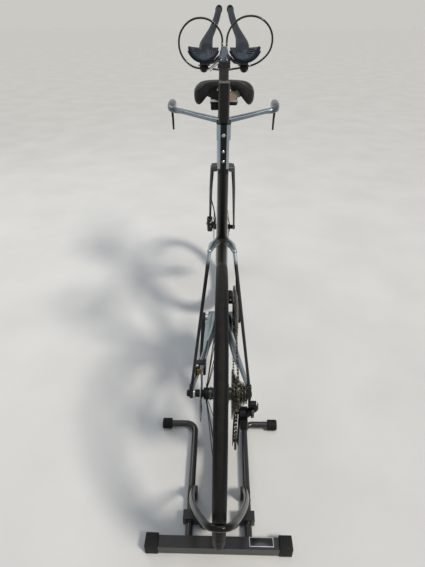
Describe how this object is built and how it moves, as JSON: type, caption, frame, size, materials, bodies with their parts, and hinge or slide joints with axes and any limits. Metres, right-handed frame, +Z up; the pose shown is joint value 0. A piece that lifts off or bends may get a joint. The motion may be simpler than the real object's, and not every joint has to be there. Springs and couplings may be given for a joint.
{
  "type": "time trial bicycle on a wheel stand",
  "caption": "Time trial bicycle held by a low wheel stand: deep rims, aero seat mast, forearm cups on a riser, looped cable housings, disc brakes and cranks without pedals.",
  "frame": {"origin": "on the floor, at the middle of the overall length and width", "axes": "+Y forward along the bicycle, +X to its right, the drive side, +Z up"},
  "size_m": [0.426, 1.692, 1.1907],
  "materials": {
    "silver_paint": "satin silver lacquer",
    "fork_paint": "gloss black lacquer",
    "pale_alloy": "satin anodised",
    "grey_carbon": "satin grey lacquer over carbon",
    "bare_carbon": "clear-coated carbon",
    "black_alloy": "black anodised",
    "caliper_alloy": "anodised",
    "steel": "ground",
    "chain_steel": "oiled plate",
    "saddle_cover": "matte microfibre cover",
    "pad_foam": "ribbed foam",
    "rubber": "moulded",
    "tyre": "dusty",
    "housing": "cable housing",
    "stand_paint": "satin black powder coat"
  },
  "bodies": {
    "frame": {"frame": "silver_paint", "rear_axle": "black_alloy", "seat_mast": "silver_paint", "seat_collar": "pale_alloy", "seatpost": "grey_carbon", "saddle_rails": "steel", "rail_clamp": "steel", "saddle": "saddle_cover", "rear_caliper": "caliper_alloy", "rear_hose": "housing", "derailleur": "black_alloy", "gear_hanger": "black_alloy", "chain": "chain_steel", "stand_base": "stand_paint", "stand_caps": "rubber", "stand_hoop": "stand_paint"},
    "steering": {"fork": "fork_paint", "front_axle": "black_alloy", "front_caliper": "black_alloy", "front_hose": "housing", "stem": "silver_paint", "base_bar": "silver_paint", "brake_levers": "black_alloy", "riser": "grey_carbon", "pad_bracket": "black_alloy", "arm_cups": "bare_carbon", "elbow_pads": "pad_foam", "extensions": "bare_carbon", "grips": "rubber", "left_housing": "housing", "right_housing": "housing"},
    "front_wheel": {"front_tyre": "tyre", "front_rim": "bare_carbon", "front_hub": "black_alloy", "front_rotor": "steel"},
    "rear_wheel": {"rear_tyre": "tyre", "rear_rim": "bare_carbon", "rear_hub": "black_alloy", "rear_rotor": "steel", "cassette": "chain_steel"},
    "crank": {"crank_left": "bare_carbon", "crank_right": "bare_carbon", "chainring": "black_alloy", "spindle": "steel"}
  },
  "joints": [
    {"name": "steering", "type": "hinge", "parent": "frame", "child": "steering", "pos_m": [0, 0.33779, 0.72603], "axis": [0, -0.3007, 0.9537], "range_deg": [-40, 40]},
    {"name": "front_wheel_spin", "type": "hinge", "parent": "steering", "child": "front_wheel", "pos_m": [0, 0.507, 0.339], "axis": [1, 0, 0], "continuous": true},
    {"name": "rear_wheel_spin", "type": "hinge", "parent": "frame", "child": "rear_wheel", "pos_m": [0, -0.488, 0.339], "axis": [1, 0, 0], "continuous": true},
    {"name": "crank_spin", "type": "hinge", "parent": "frame", "child": "crank", "pos_m": [0, -0.083, 0.27], "axis": [1, 0, 0], "continuous": true}
  ]
}
